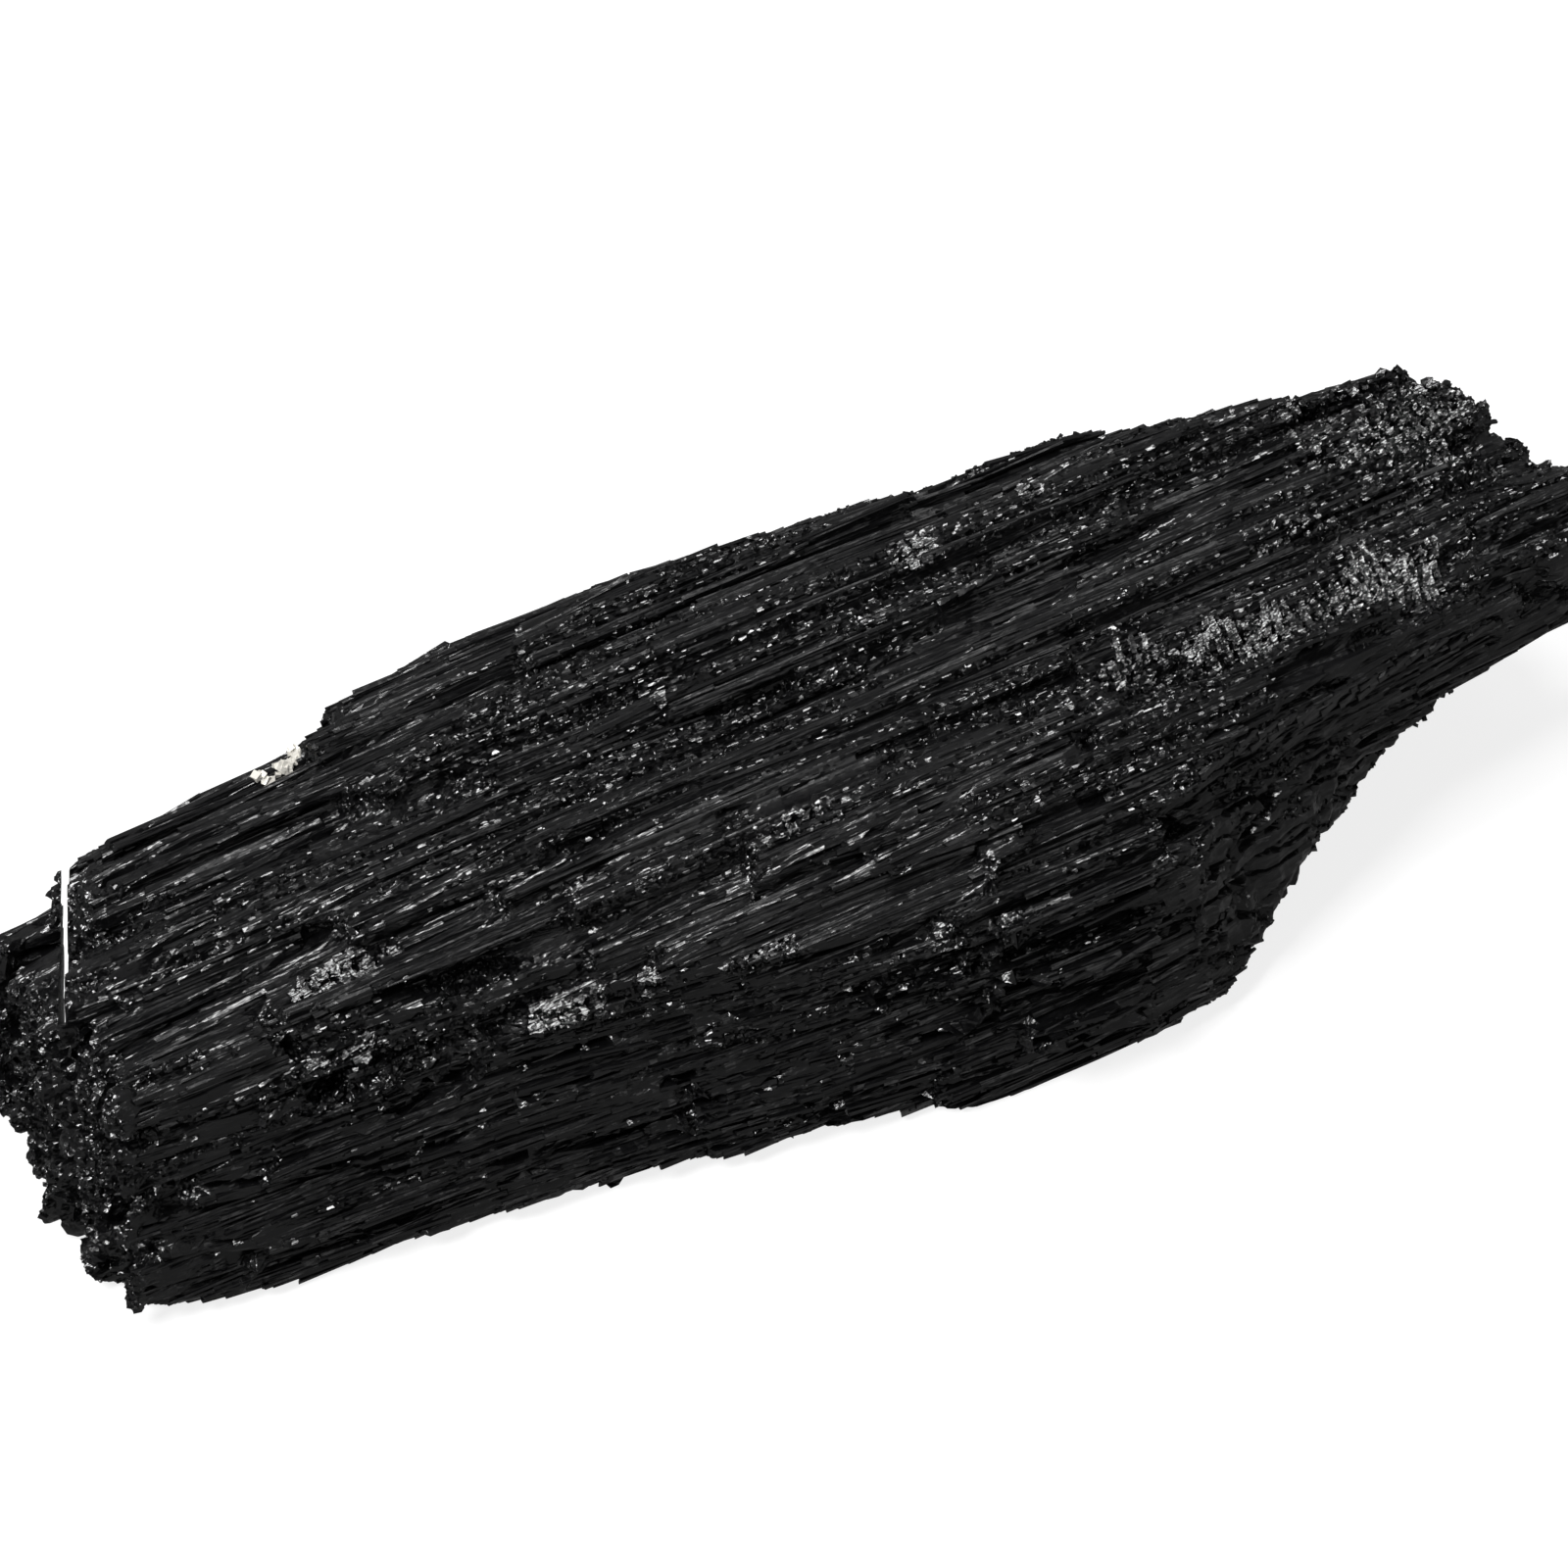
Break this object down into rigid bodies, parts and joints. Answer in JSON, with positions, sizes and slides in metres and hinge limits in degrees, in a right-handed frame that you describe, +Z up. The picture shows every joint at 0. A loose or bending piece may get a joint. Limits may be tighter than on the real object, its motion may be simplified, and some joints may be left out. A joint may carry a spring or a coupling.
{
  "type": "black tourmaline crystal",
  "caption": "Rough black tourmaline log lying down: parallel striated columns with ledges and grooves, blunt broken ends and a long flat underside to rest on.",
  "frame": {"origin": "middle of the footprint, on the flat underside", "axes": "+X along the columns, from the blunt near end to the far end; +Z up, away from the face it rests on"},
  "size_m": [0.1112, 0.0396, 0.0248],
  "materials": {
    "schorl": "glassy to satin black on the striated faces, granular and sparkling on the breaks"
  },
  "bodies": {
    "root": {"crystal": "schorl"}
  },
  "joints": []
}
